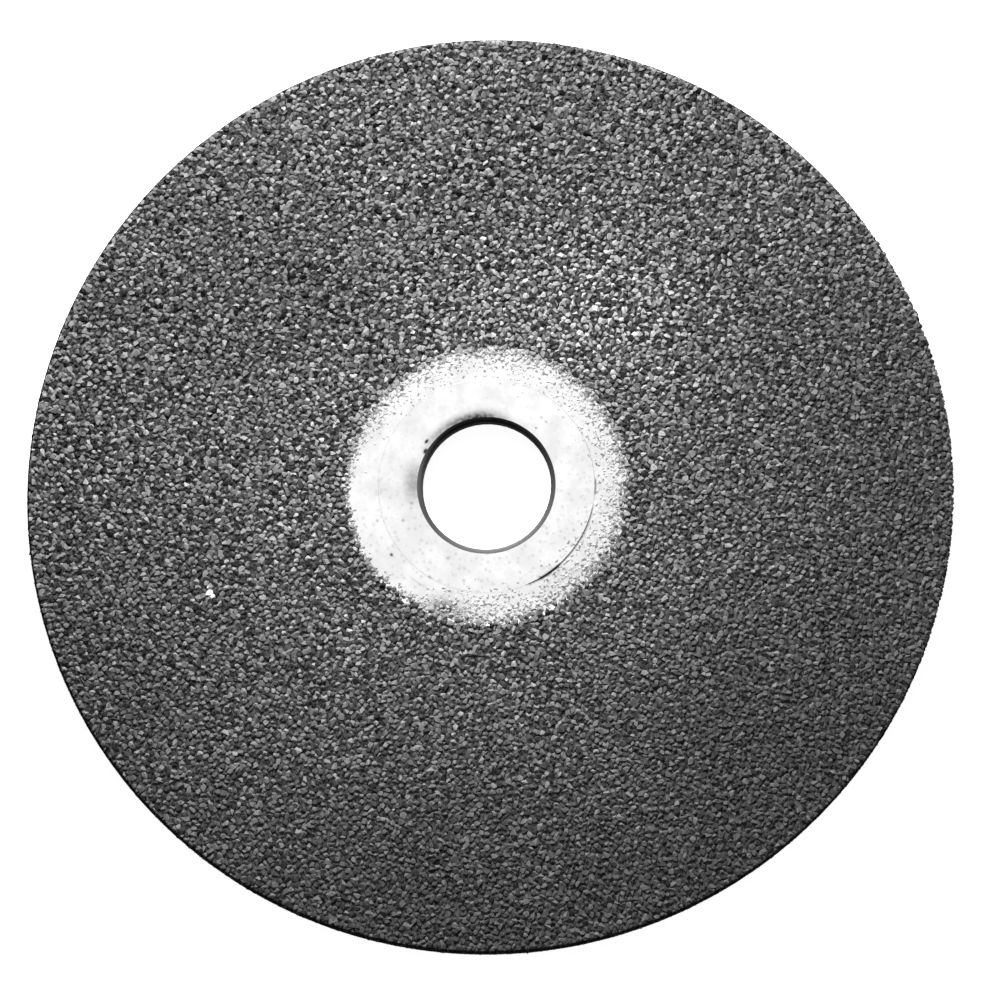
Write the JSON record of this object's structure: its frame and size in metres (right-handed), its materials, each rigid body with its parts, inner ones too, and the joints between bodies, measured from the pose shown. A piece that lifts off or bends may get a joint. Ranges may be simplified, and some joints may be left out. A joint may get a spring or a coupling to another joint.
{
  "type": "diamond grinding wheel",
  "caption": "Flat round grinding wheel: a turned steel disc with a plain bore and a bare hub, its front face and rim covered in coarse bonded diamond grit.",
  "frame": {"origin": "on the bore's axis, in the plane of the bare back face on which the wheel lies", "axes": "+Z along the bore's axis, out of the gritted front face; +Y is the top of the wheel as pictured; the wheel is round, so X and Y are otherwise free"},
  "size_m": [0.16, 0.16, 0.0031],
  "materials": {
    "bare_steel": "turned",
    "diamond_grit": "coarse"
  },
  "bodies": {
    "root": {"steel_body": "bare_steel", "grit_coating": "diamond_grit"}
  },
  "joints": []
}
